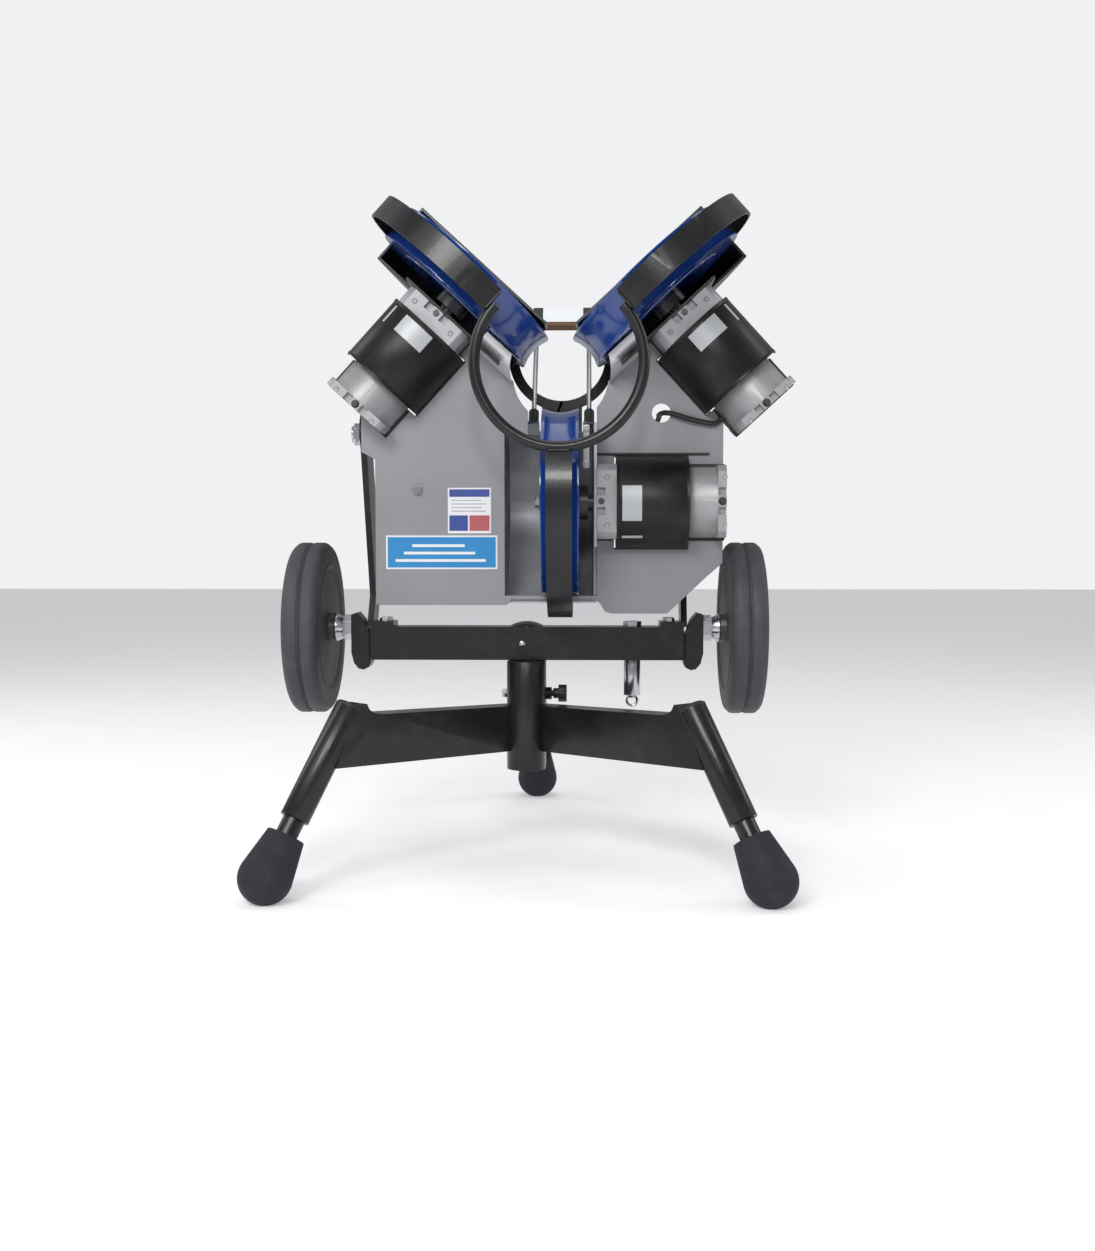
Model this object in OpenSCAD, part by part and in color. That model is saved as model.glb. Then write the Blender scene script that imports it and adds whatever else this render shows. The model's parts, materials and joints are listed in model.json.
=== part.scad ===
// Three-wheel baseball pitching machine on a three-legged stand.
// Front is -Y, +X is to the right seen from the front, +Z is up, millimetres.

/* [Ball path] */
// Height of the ball axis above the floor
ball_z = 457; // [452:1:470]
// Offset of the ball axis to the right of the swivel post
ball_x = 33; // [30:1:36]
// Radius of the ball that the treads grip
ball_r = 36.5; // [36:0.5:38]

/* [Throwing wheels] */
// Distance from the ball axis to each wheel centre
wheel_reach = 119; // [118:0.5:121]
// Outer radius of a throwing wheel
wheel_r = 87.5; // [85:0.5:88]
// Width of a throwing wheel
wheel_w = 34; // [30:1:35]
// Depth of the hollow tread
tread_depth = 3.4; // [2:0.1:4]
// Radius where the urethane meets the hub
wheel_hub_r = 45; // [40:1:50]
// Angle of the two upper wheels above level
upper_angle = 42.5; // [40:0.5:45]
// Depth of the wheel axes, in front of the post
wheel_y = -30; // [-32:1:-28]

/* [Motors] */
// Diameter of the motor can
can_d = 85; // [80:1:86]
// Distance from wheel plane to the mounting face
motor_z = 34; // [34:1:36]
// Length of the square front bell
front_bell_l = 18; // [14:1:20]
// Length of the can
can_l = 67; // [60:1:68]
// Length of the round rear bell
rear_bell_l = 26; // [20:1:28]
// Thickness of the rear flange
rear_flange_t = 8; // [5:1:10]
// Radius of the motor shaft
shaft_r = 8; // [7:0.5:9]

/* [Guards] */
// Inner radius of the strap guards
guard_r = 106; // [104:1:107]
// Width of a strap guard
guard_w = 23; // [20:1:26]
// Thickness of a strap guard
guard_t = 2.5; // [2:0.5:3]
// Radius of the hoop that joins the guards
hoop_r = 74; // [72:1:76]
// Radius of the hoop tube
hoop_tube_r = 5; // [4:0.5:6]
// Outer radius of the rear wheel covers
cover_r = 95; // [94:0.5:96]

/* [Front plate] */
// Thickness of the front plate
plate_t = 3; // [2:0.5:4]
// Radius of the opening that the ball leaves by
mouth_r = 45; // [42:1:48]

/* [Tilt and yoke] */
// Height of the tilt axis
tilt_z = 408; // [406:1:410]
// Depth of the tilt axis behind the post
tilt_y = 36; // [34:1:38]
// Half length of the square beam
beam_half = 151; // [149:1:152]
// Side of the square beam
beam_side = 32; // [30:1:32]
// Height of the underside of the beam
beam_z = 187.5; // [187:0.5:189]
// Outward lean of the yoke arms in degrees
arm_lean = 3.3; // [3:0.1:4]

/* [Transport wheels] */
// Radius of a transport tyre
tyre_r = 82.5; // [76:0.5:84]
// Width of a transport tyre
tyre_w = 33; // [28:1:34]
// Distance from the post to the inner face of a tyre
tyre_x = 191; // [190:1:194]
// Height of the transport axle
axle_z = 218; // [216:1:220]

/* [Stand] */
// Outer radius of the post sleeve
post_r = 18.5; // [18:0.5:20]
// Radius of the kingpin
kingpin_r = 12.5; // [12:0.1:13]
// Distance from the post to the top of each leg socket
socket_reach = 209.3; // [205:0.1:212]
// Height of the top of each leg socket
socket_z = 157; // [155:1:160]
// Splay of each leg from vertical in degrees
leg_splay = 32.5; // [30:0.5:34]
// Length of each leg socket
socket_l = 107; // [100:1:110]
// Outer radius of a leg socket
socket_r = 12.7; // [12.5:0.1:14]
// Radius of the sliding leg tube
leg_r = 9.5; // [9:0.1:9.5]
// Radius of a rubber foot
foot_r = 23; // [21:0.5:24]

/* [Controls] */
// Width of the control box
box_w = 95; // [90:1:98]
// Height of the control box
box_h = 110; // [100:1:112]
// Depth of the control box
box_d = 53; // [48:1:56]

/* [Hidden] */
$fn = 72;
eps = 0.5;
big = 400;
run_fit = 0.05;
slide_fit = 0.1;

WHEEL_ANGLE = [-90, 180 - upper_angle, upper_angle];
MOTOR_SIDE = [1, 1, -1];
LOWER = 0;
LEFT = 1;
RIGHT = 2;
LEG_ANGLE = [-135, -45, 90];

plate_y = wheel_y + 2;
plate_back = plate_y + plate_t;
cheek_t = 3;
cheek_in = motor_z - cheek_t;
cover_wall = 2.5;
cover_cut = 72;
lower_cover_back = -53;
slot_side = 31;
guard_start = -112.5;
lead_hole_x = 127.8;
lead_hole_z = 422;
motor_end = motor_z + front_bell_l + can_l + rear_bell_l + rear_flange_t;
bell_side = 69;
flange_side = 67;
rear_bell_r = 33;
hoop_y = wheel_y - 95;
beam_top = beam_z + beam_side;
arm_t = 6;
ear_x = 152;
ear_t = 4;
trunnion_r = 8;
axle_r = 6.35;
pivot_x = beam_half + (tilt_z - beam_top) * tan(arm_lean);

foot_z = 21.5;
foot_reach = socket_reach + (socket_z - foot_z) * tan(leg_splay);
foot_l = (socket_z - foot_z) / cos(leg_splay);
foot_neck_r2 = 16.5;
foot_neck_r1 = foot_r * 0.979;
foot_neck_z = foot_r * 0.206;
foot_neck_l = 38 - foot_neck_z;

// The origin is under the middle of the whole machine.
left_edge = -foot_reach * cos(45) - foot_r;
right_edge = ball_x + wheel_reach * cos(upper_angle) + motor_end * sin(upper_angle)
    + flange_side / 2 * cos(upper_angle);
mid_x = (left_edge + right_edge) / 2;
mid_y = foot_reach * (1 - cos(45)) / 2;

module in_frame() {
    translate([-mid_x, -mid_y, 0])
        children();
}

// ---- Stand ----

// Frame of a leg: origin at the top of the socket, the leg runs along -Z.
module at_leg(i) {
    rotate([0, 0, LEG_ANGLE[i]])
        translate([socket_reach, 0, socket_z])
            rotate([0, -leg_splay, 0])
                children();
}

lock_z = 154;
lock_boss_r = 6;
lock_screw_r = 3;
nose_reach = 22;

// Tube that stands against the front of the post.
module post_nose() {
    translate([0, -nose_reach, 84])
        cylinder(r = post_r, h = 103);
}

module base_post() in_frame() color([0.12, 0.12, 0.13]) {
    difference() {
        union() {
            translate([0, 0, 86])
                cylinder(r = post_r, h = 101);
            post_nose();
            translate([0, 0, 86])
                intersection() {
                    sphere(r = post_r);
                    translate([0, 0, -6])
                        cylinder(r = post_r, h = 7);
                }
            translate([0, 0, lock_z])
                rotate([0, 90, 0])
                    cylinder(r = lock_boss_r, h = post_r + 5.5);
        }
        translate([0, 0, 92])
            cylinder(r = kingpin_r + 2.5, h = 100);
        translate([0, 0, lock_z])
            rotate([0, 90, 0])
                cylinder(r = lock_screw_r + slide_fit, h = big);
    }
}

module kingpin_bushes() in_frame() color("darkgoldenrod") {
    for (z = [94, 169]) {
        translate([0, 0, z])
            difference() {
                cylinder(r = kingpin_r + 2.5, h = 18);
                translate([0, 0, -eps])
                    cylinder(r = kingpin_r + run_fit, h = 19);
            }
    }
}

module stand_arm(i) in_frame() color([0.12, 0.12, 0.13]) {
    arm_w = 25;
    difference() {
        union() {
            rotate([0, 0, LEG_ANGLE[i]])
                translate([0, arm_w / 2, 0])
                    rotate([90, 0, 0])
                        linear_extrude(arm_w)
                            polygon([[10, 101], [socket_reach + 24, 107], [socket_reach, socket_z],
                                [socket_reach - 9.5, 160], [socket_reach - 12, 155],
                                [socket_reach - 17, 151.5], [socket_reach - 26, 149.8], [10, 144]]);
            at_leg(i)
                translate([0, 0, -socket_l])
                    cylinder(r = socket_r, h = socket_l);
        }
        at_leg(i)
            translate([0, 0, -socket_l - eps])
                cylinder(r = leg_r + slide_fit, h = socket_l - 2);
        translate([0, 0, 60])
            cylinder(r = post_r, h = 120);
        post_nose();
    }
}

module leg_tube(i) in_frame() color([0.18, 0.18, 0.19]) {
    at_leg(i)
        translate([0, 0, -foot_l + 12])
            difference() {
                cylinder(r = leg_r, h = foot_l - 12 - 6);
                translate([0, 0, 3])
                    cylinder(r = leg_r - 1.6, h = foot_l);
            }
}

module rubber_foot(i) in_frame() color([0.19, 0.2, 0.23]) {
    difference() {
        at_leg(i) {
            translate([0, 0, -foot_l])
                sphere(r = foot_r);
            translate([0, 0, foot_neck_z - foot_l])
                cylinder(r1 = foot_neck_r1, r2 = foot_neck_r2, h = foot_neck_l);
        }
        at_leg(i)
            translate([0, 0, -foot_l + 12])
                cylinder(r = leg_r + slide_fit, h = 60);
        translate([-big, -big, -big])
            cube([2 * big, 2 * big, big]);
    }
}

module swivel_lock_knob() in_frame() color([0.1, 0.1, 0.1]) {
    translate([kingpin_r + 0.5, 0, lock_z])
        rotate([0, 90, 0])
            cylinder(r = lock_screw_r, h = 20);
    translate([post_r + 7, 0, lock_z])
        rotate([0, 90, 0]) {
            cylinder(r = 5, h = 5);
            translate([0, 0, 5])
                difference() {
                    cylinder(r = 8.5, h = 8);
                    for (a = [0:60:300])
                        rotate([0, 0, a])
                            translate([10.2, 0, -eps])
                                cylinder(r = 3, h = 9);
                }
        }
}

// ---- Yoke ----

plunger_x = 102;
plunger_r = 3;

module yoke_beam() in_frame() color([0.12, 0.12, 0.13]) {
    wall = 3;
    difference() {
        translate([-beam_half, -beam_side / 2, beam_z])
            cube([2 * beam_half, beam_side, beam_side]);
        translate([-beam_half + wall, -beam_side / 2 + wall, beam_z + wall])
            cube([2 * (beam_half - wall), beam_side - 2 * wall, beam_side - 2 * wall]);
        translate([0, 0, beam_z - eps])
            cylinder(r = kingpin_r, h = beam_side + 2 * eps);
        translate([plunger_x, 0, beam_z - eps])
            cylinder(r = 6, h = beam_side + 2 * eps);
    }
}

module kingpin() in_frame() color([0.2, 0.2, 0.21]) {
    translate([0, 0, 96])
        cylinder(r = kingpin_r, h = beam_top - 96);
    translate([0, 0, beam_top])
        intersection() {
            cylinder(r = 17, h = 5);
            translate([0, 0, -27])
                sphere(r = 32);
        }
}

// Outline of a yoke arm seen from the side, from the beam top upwards.
module yoke_arm_outline() {
    rise = tilt_z - beam_top;
    polygon([[-8, 0], [16, 0], [tilt_y + 20, 40], [tilt_y + 20, rise], [tilt_y - 20, rise],
        [tilt_y - 20, 30], [-8, 6]]);
    translate([tilt_y, rise])
        circle(r = 20);
}

module yoke_arm(side) in_frame() color([0.12, 0.12, 0.13]) {
    foot_plate_l = 23;
    mirror([side < 0 ? 1 : 0, 0, 0]) {
        difference() {
            translate([beam_half, 0, beam_top])
                rotate([0, arm_lean, 0])
                    translate([-arm_t / 2, 0, 0])
                        rotate([90, 0, 90])
                            linear_extrude(arm_t)
                                yoke_arm_outline();
            translate([0, -big, beam_top - 10])
                cube([big, 2 * big, 11]);
            translate([pivot_x - 20, tilt_y, tilt_z])
                rotate([0, 90, 0])
                    cylinder(r = trunnion_r + run_fit, h = 40);
        }
        translate([beam_half - foot_plate_l, -beam_side / 2, beam_top])
            cube([foot_plate_l + 3, beam_side, 5]);
    }
}

module wheel_bracket(side) in_frame() color([0.12, 0.12, 0.13]) {
    bracket_w = 22;
    mirror([side < 0 ? 1 : 0, 0, 0])
        difference() {
            translate([0, bracket_w / 2, 0])
                rotate([90, 0, 0])
                    linear_extrude(bracket_w)
                        polygon([[beam_half, 184], [153, 180], [158, 177.5], [163, 178.5],
                            [167.5, 184], [170, 194], [170, 231], [164, 233], [158, 226],
                            [154, 214], [beam_half, 214]]);
            translate([140, 0, axle_z])
                rotate([0, 90, 0])
                    cylinder(r = axle_r, h = 60);
        }
}

module transport_axles() in_frame() color("silver") {
    for (side = [0, 1])
        mirror([side, 0, 0])
            translate([0, 0, axle_z])
                rotate([0, 90, 0]) {
                    translate([0, 0, 158.5])
                        cylinder(r = axle_r, h = 69.5);
                    translate([0, 0, 170])
                        cylinder(r = 12.5, h = 8, $fn = 6);
                    translate([0, 0, 178])
                        cylinder(r = 10, h = 7.5);
                    translate([0, 0, 225.5])
                        cylinder(r = 10, h = 3.5, $fn = 6);
                }
}

module yoke_bolts() in_frame() color("silver") {
    for (side = [-1, 1], y = [-8, 8])
        translate([side * (beam_half - 14), y, beam_top + 5])
            cylinder(r = 5.5, h = 3.5, $fn = 6);
    translate([plunger_x, 0, 0])
        difference() {
            union() {
                translate([0, 0, beam_z - 35])
                    cylinder(r = 8, h = 35);
                translate([0, 0, beam_z])
                    cylinder(r = 6, h = beam_side);
                translate([0, 0, beam_top])
                    cylinder(r = 9, h = 5, $fn = 6);
            }
            translate([0, 0, beam_z - 40])
                cylinder(r = plunger_r + slide_fit, h = 100);
        }
}

module lock_plunger() in_frame() color("gainsboro") {
    translate([plunger_x, 0, 0]) {
        translate([0, 0, 150])
            cylinder(r = plunger_r, h = 72);
        translate([0, 0, 147])
            rotate([90, 0, 0])
                rotate_extrude()
                    translate([5, 0])
                        circle(r = 1.3, $fn = 24);
    }
}

module transport_tyre(side) in_frame() color([0.25, 0.26, 0.28]) {
    mirror([side < 0 ? 1 : 0, 0, 0])
        translate([tyre_x, 0, axle_z])
            rotate([0, 90, 0])
                rotate_extrude()
                    polygon([[58, 0], [78, 0], [tyre_r, 5], [tyre_r, tyre_w / 2 - 1.5],
                        [tyre_r - 2, tyre_w / 2 - 0.8], [tyre_r - 2, tyre_w / 2 + 0.8],
                        [tyre_r, tyre_w / 2 + 1.5], [tyre_r, tyre_w - 5], [78, tyre_w], [58, tyre_w]]);
}

module transport_hub(side) in_frame() color([0.3, 0.3, 0.32]) {
    mirror([side < 0 ? 1 : 0, 0, 0])
        translate([tyre_x, 0, axle_z])
            rotate([0, 90, 0])
                rotate_extrude()
                    polygon([[axle_r + slide_fit, -5], [14, -5], [14, 10], [46, 15], [52, 3], [58, 3],
                        [58, 30], [52, 30], [46, 20], [14, 17], [14, tyre_w + 1], [axle_r + slide_fit, tyre_w + 1]]);
}

// ---- Head ----

// Frame of a throwing wheel: X points away from the ball axis, Z towards its motor.
module at_wheel(i) {
    translate([ball_x, wheel_y, ball_z])
        rotate([0, -WHEEL_ANGLE[i], 0])
            translate([wheel_reach, 0, 0])
                mirror([0, 0, MOTOR_SIDE[i] < 0 ? 1 : 0])
                    children();
}

module throwing_tyre(i) in_frame() color([0.08, 0.2, 0.5]) {
    tread_r = ball_r + 0.5;
    at_wheel(i)
        rotate_extrude()
            difference() {
                translate([wheel_hub_r, -wheel_w / 2])
                    square([wheel_r - wheel_hub_r, wheel_w]);
                translate([wheel_r - tread_depth + tread_r, 0])
                    circle(r = tread_r);
            }
}

module throwing_hub(i) in_frame() color("silver") {
    at_wheel(i) {
        difference() {
            translate([0, 0, -14])
                cylinder(r = wheel_hub_r, h = 28);
            translate([0, 0, 5])
                cylinder(r = wheel_hub_r - 6, h = 20);
            translate([0, 0, -25])
                cylinder(r = wheel_hub_r - 6, h = 20);
            for (a = [0:72:288])
                rotate([0, 0, a])
                    translate([27, 0, -20])
                        cylinder(r = 7, h = 40);
        }
        translate([0, 0, -14])
            cylinder(r = 16, h = 40);
        translate([0, 0, -20])
            cylinder(r = shaft_r, h = 20 + motor_z + front_bell_l + 8);
        translate([0, 0, -19])
            cylinder(r = 12, h = 5, $fn = 6);
    }
}

// Half drum behind a throwing wheel, with a cheek that carries the motor.
module wheel_cover(i, back_z, front_y, shade) in_frame() color(shade) {
    span = cheek_in - back_z;
    at_wheel(i)
        difference() {
            union() {
                difference() {
                    translate([0, 0, back_z - cheek_t])
                        cylinder(r = cover_r, h = span + 2 * cheek_t);
                    translate([0, 0, back_z])
                        cylinder(r = cover_r - cover_wall, h = span);
                    translate([-cover_r - eps, -big, back_z - 10])
                        cube([2 * big, big + front_y, span + 20]);
                }
                translate([-cover_cut, -34, cheek_in])
                    cube([cover_cut + 42, 34 + front_y + eps, cheek_t]);
            }
            translate([-big - cover_cut, -big, -big])
                cube([big, 2 * big, 2 * big]);
            translate([0, 0, cheek_in - eps])
                cylinder(r = 12, h = cheek_t + 2 * eps);
        }
}

module motor_can(i) in_frame() color([0.12, 0.12, 0.13]) {
    at_wheel(i)
        translate([0, 0, motor_z + front_bell_l])
            difference() {
                cylinder(d = can_d, h = can_l);
                translate([0, 0, -eps])
                    cylinder(r = shaft_r + 0.4, h = 12);
            }
}

// Rounded square flange of a motor, with two slots beside a stud on the front side.
module motor_flange(side_l, thickness) {
    difference() {
        intersection() {
            translate([-side_l / 2, -side_l / 2, 0])
                cube([side_l, side_l, thickness]);
            cylinder(r = side_l * 0.645, h = thickness);
        }
        for (x = [-9, 9])
            translate([x - 3.5, -side_l / 2 - eps, -eps])
                cube([7, 5, 8]);
    }
}

module motor_bells(i) in_frame() color([0.6, 0.6, 0.61]) {
    at_wheel(i) {
        translate([0, 0, motor_z])
            difference() {
                motor_flange(bell_side, front_bell_l);
                translate([0, 0, -eps])
                    cylinder(r = shaft_r + run_fit, h = front_bell_l + 2 * eps);
            }
        translate([0, 0, motor_z + front_bell_l + can_l])
            cylinder(r = rear_bell_r, h = rear_bell_l);
        translate([0, 0, motor_end])
            mirror([0, 0, 1])
                motor_flange(flange_side, rear_flange_t);
    }
}

module hoop_tube() {
    translate([ball_x, hoop_y, ball_z])
        rotate([90, 0, 0])
            rotate([0, 0, 139])
                rotate_extrude(angle = 262)
                    translate([hoop_r, 0])
                        circle(r = hoop_tube_r);
}

module guard_hoop() in_frame() color([0.1, 0.1, 0.11]) hoop_tube();

// Strap of a guard seen along the wheel's axis, with the lug that sits on the cover's drum.
module guard_outline(end_angle) {
    lug_angle = 8;
    fan_r = 1.5 * guard_r;
    step = (end_angle - guard_start) / 5;
    difference() {
        intersection() {
            circle(r = guard_r + guard_t);
            polygon([
                [0, 0],
                for (k = [0:5]) fan_r * [cos(guard_start + k * step), sin(guard_start + k * step)]
            ]);
        }
        difference() {
            circle(r = guard_r);
            polygon([
                [0, 0],
                fan_r * [cos(end_angle - lug_angle), sin(end_angle - lug_angle)],
                fan_r * [cos(end_angle), sin(end_angle)]
            ]);
        }
        circle(r = cover_r);
    }
}

module wheel_guard(i, end_angle) in_frame() color([0.11, 0.11, 0.12]) {
    at_wheel(i)
        linear_extrude(guard_w, center = true)
            guard_outline(end_angle);
}

// Places a flat shape in the plane of the front plate: X away from the ball axis from the
// wheel's centre, Y towards its motor.
module on_plate(i) {
    translate([ball_x, ball_z])
        rotate(WHEEL_ANGLE[i])
            translate([wheel_reach, 0])
                mirror([0, MOTOR_SIDE[i] < 0 ? 1 : 0])
                    children();
}

// Slot for a wheel, from start_x to end_x along its X.
module slot_outline(i, back_z, start_x, end_x) {
    on_plate(i)
        translate([start_x, back_z])
            square([end_x - start_x, motor_z - back_z]);
}

// Window that follows the steps of a motor.
module motor_outline(i) {
    clear = 1.5;
    can_z = motor_z + front_bell_l;
    can_end = can_z + can_l;
    on_plate(i) {
        translate([-bell_side / 2 - clear, motor_z - eps])
            square([bell_side + 2 * clear, motor_end - motor_z + eps + clear]);
        translate([-can_d / 2 - clear, can_z - clear])
            square([can_d + 2 * clear, can_end - can_z + 2 * clear]);
    }
}

module plate_outline() {
    difference() {
        polygon([[-143, 241], [-18, 241], [-14, 246], [65, 246], [70, 243], [75, 235], [80, 233],
            [134, 233], [170, 267], [186, 281], [186, 430], [110, 500], [ball_x, ball_z],
            [2 * ball_x - 110, 500], [-156, 430], [-156, 386], [-143, 379]]);
        translate([ball_x, ball_z])
            circle(r = mouth_r);
        slot_outline(LOWER, -slot_side, -wheel_reach, 88);
        slot_outline(LOWER, lower_cover_back, -64, 88);
        slot_outline(LEFT, -slot_side, -wheel_reach, big);
        slot_outline(RIGHT, -slot_side, -wheel_reach, big);
        motor_outline(LOWER);
        motor_outline(LEFT);
        motor_outline(RIGHT);
        translate([lead_hole_x, lead_hole_z])
            circle(r = 9);
    }
}

module front_plate() in_frame() color([0.57, 0.57, 0.59]) {
    translate([0, plate_back, 0])
        rotate([90, 0, 0])
            linear_extrude(plate_t)
                plate_outline();
}

module plate_bolt() in_frame() color("silver") {
    translate([-103, plate_y, 350])
        rotate([90, 0, 0]) {
            cylinder(r = 5, h = 1);
            translate([0, 0, 1])
                cylinder(r = 4, h = 3);
        }
}

// ---- Ball feed ----

rail_half = 27;
rail_y = 5;
rail_z = 412;
rail_lean = 43;
rail_l = 183;
rail_r = 2.4;
throat_y = 48;
throat_z = 485;

module at_rail(side) {
    translate([ball_x + side * rail_half, rail_y, rail_z])
        rotate([-rail_lean, 0, 0])
            mirror([side > 0 ? 1 : 0, 0, 0])
                children();
}

module feed_rails() in_frame() color("silver") {
    tab_reach = [lower_cover_back + rail_half, -cheek_in + rail_half];
    for (side = [-1, 1])
        at_rail(side) {
            cylinder(r = rail_r, h = rail_l);
            reach = side < 0 ? tab_reach[0] : tab_reach[1];
            translate([reach, -7, -3])
                cube([6 - reach, 14, 3]);
        }
    at_rail(-1)
        translate([6, -4, 158])
            cube([2 * rail_half - 12, 8, 21]);
}

module rail_boots() in_frame() color([0.08, 0.08, 0.08]) {
    for (side = [-1, 1])
        at_rail(side)
            difference() {
                union() {
                    translate([0, 0, 2])
                        cylinder(r = 5, h = 20);
                    translate([-4, -5, 155])
                        cube([10, 10, 26]);
                }
                cylinder(r = rail_r, h = rail_l + 5);
            }
}

// Plate with a round edge that guides the ball, standing on the lower cover.
module feed_throat() in_frame() color([0.1, 0.1, 0.1]) {
    throat_in = 43;
    throat_out = 53;
    web_w = 40;
    difference() {
        translate([ball_x, throat_y + 4, throat_z])
            rotate([90, 0, 0])
                linear_extrude(4)
                    difference() {
                        union() {
                            circle(r = throat_out);
                            translate([-web_w / 2, -110])
                                square([web_w, 70]);
                        }
                        circle(r = throat_in);
                        translate([-big, 0])
                            square([2 * big, big]);
                    }
        at_wheel(LOWER)
            translate([0, 0, -60])
                cylinder(r = cover_r, h = 120);
    }
}

// ---- Trunnions ----

module trunnion_brackets() in_frame() color([0.57, 0.57, 0.59]) {
    for (x = [-ear_x - ear_t, ear_x])
        difference() {
            translate([x, 0, 0])
                rotate([90, 0, 90])
                    linear_extrude(ear_t)
                        union() {
                            translate([plate_back, tilt_z - 20])
                                square([tilt_y - plate_back, 23]);
                            translate([tilt_y, tilt_z])
                                circle(r = 18);
                        }
            translate([x - 5, tilt_y, tilt_z])
                rotate([0, 90, 0])
                    cylinder(r = trunnion_r, h = 20);
        }
}

module trunnion_bolts() in_frame() color("silver") {
    for (side = [0, 1])
        mirror([side, 0, 0])
            translate([0, tilt_y, tilt_z])
                rotate([0, 90, 0]) {
                    translate([0, 0, ear_x - 7])
                        cylinder(r = 12, h = 7, $fn = 6);
                    translate([0, 0, ear_x - 7])
                        cylinder(r = trunnion_r, h = 30);
                    translate([0, 0, ear_x + ear_t])
                        cylinder(r = 12, h = 1.6);
                    translate([0, 0, pivot_x + 5])
                        cylinder(r = 11, h = 6, $fn = 6);
                }
}

module tilt_lock_knob() in_frame() color([0.1, 0.1, 0.1]) {
    translate([pivot_x + 11.4, tilt_y, tilt_z])
        rotate([0, 90, 0])
            difference() {
                union() {
                    cylinder(r = 10, h = 4);
                    translate([0, 0, 4])
                        cylinder(r = 22, h = 11);
                }
                translate([0, 0, -eps])
                    cylinder(r = trunnion_r + slide_fit, h = 10);
                for (a = [0:60:300])
                    rotate([0, 0, a])
                        translate([25, 0, 3])
                            cylinder(r = 7, h = 14);
            }
}

// ---- Controls and wiring ----

box_x = -135;
box_z = 262;
box_wall = 2;
lid_t = 2;
dial_z = 345;
DIAL_X = [-115, -88, -61];
dial_shaft_r = 3;
lid_y = plate_back + box_d;
switch_x = -112;
inlet_x = -65;
low_row_z = 295;
inlet_w = 24;
inlet_h = 16;

module control_box() in_frame() color([0.2, 0.2, 0.21]) {
    difference() {
        translate([box_x, plate_back, box_z])
            cube([box_w, box_d, box_h]);
        translate([box_x + box_wall, plate_back + box_wall, box_z + box_wall])
            cube([box_w - 2 * box_wall, box_d, box_h - 2 * box_wall]);
    }
}

module control_lid() in_frame() color([0.15, 0.15, 0.16]) {
    difference() {
        translate([box_x, lid_y, box_z])
            cube([box_w, lid_t, box_h]);
        for (x = DIAL_X)
            translate([x, lid_y + lid_t + eps, dial_z])
                rotate([90, 0, 0])
                    cylinder(r = dial_shaft_r + slide_fit, h = 10);
        translate([switch_x - 8.5, lid_y - eps, low_row_z - 13])
            cube([17, 10, 26]);
        translate([inlet_x - inlet_w / 2, lid_y - eps, low_row_z - inlet_h / 2])
            cube([inlet_w, 10, inlet_h]);
    }
}

module power_inlet() in_frame() color([0.08, 0.08, 0.08]) {
    difference() {
        translate([inlet_x, lid_y, low_row_z]) {
            translate([-inlet_w / 2, -14, -inlet_h / 2])
                cube([inlet_w, 16, inlet_h]);
            translate([-inlet_w / 2 - 3, lid_t, -inlet_h / 2 - 3])
                cube([inlet_w + 6, 2.5, inlet_h + 6]);
        }
        translate([inlet_x - inlet_w / 2 + 2, lid_y - 12, low_row_z - inlet_h / 2 + 2])
            cube([inlet_w - 4, 30, inlet_h - 4]);
    }
}

module speed_dial(i) in_frame() color([0.1, 0.1, 0.1]) {
    translate([DIAL_X[i], lid_y, dial_z])
        rotate([-90, 0, 0]) {
            translate([0, 0, -6])
                cylinder(r = dial_shaft_r, h = 12);
            translate([0, 0, lid_t + 0.5])
                difference() {
                    cylinder(r = 10.5, h = 12);
                    for (a = [0:30:330])
                        rotate([0, 0, a])
                            translate([11.5, 0, 2])
                                cylinder(r = 1.6, h = 12);
                }
        }
}

module power_switch() in_frame() color([0.6, 0.1, 0.08]) {
    translate([switch_x - 7.5, lid_y - 4, low_row_z - 11])
        cube([15, 9, 22]);
}

// Routes of the motor leads, from each motor to the control box.
lead_r = 2.5;
LOWER_LEAD = [[76, 4.5, 338], [76, 20, 338], [78, 60, 337], [66, 73, 335], [0, 76, 335],
    [-22, 73, 335], [-32, 60, 335], [-31, 14, 335], [-35, 8, 335], [-40, 8, 335]];
RIGHT_LEAD = [[185.7, -30, 417.8], [181.6, -30, 414], [175, -32, 411.5], [155, -33, 415.5],
    [139, -32.5, 420.5], [130, -28, 422], [126, -14, 421], [126, 0, 418], [112, 40, 395],
    [88, 64, 365], [66, 73, 346], [0, 76, 346], [-22, 73, 346], [-32, 60, 346], [-31, 14, 346],
    [-35, 8, 346], [-40, 8, 346]];
LEFT_LEAD = [[-84, 4.5, 505], [-84, 12, 505], [-84, 19, 497], [-82, 20, 440], [-76, 9, 395],
    [-75, 5, 384], [-75, 5, 372]];

// Smooth curve through the points of a route, with a few steps between each two.
function curve_point(a, b, c, d, t) =
    0.5 * (2 * b + (c - a) * t + (2 * a - 5 * b + 4 * c - d) * t * t + (3 * b - a - 3 * c + d) * t * t * t);
function curve(route, steps) = let (last = len(route) - 1) [
    for (i = [0:last - 1], k = [0:steps - 1])
        curve_point(route[max(i - 1, 0)], route[i], route[i + 1], route[min(i + 2, last)], k / steps),
    route[last]
];
function unit(v) = v / norm(v);
function heading(path, i) = unit(path[min(i + 1, len(path) - 1)] - path[max(i - 1, 0)]);
function square_off(v, t) = unit(v - (v * t) * t);
function sideways(path) = [
    for (i = 0, v = square_off([0.2, 0.1, 1], heading(path, 0)); i < len(path);
        i = i + 1, v = i < len(path) ? square_off(v, heading(path, i)) : v) v
];

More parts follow.
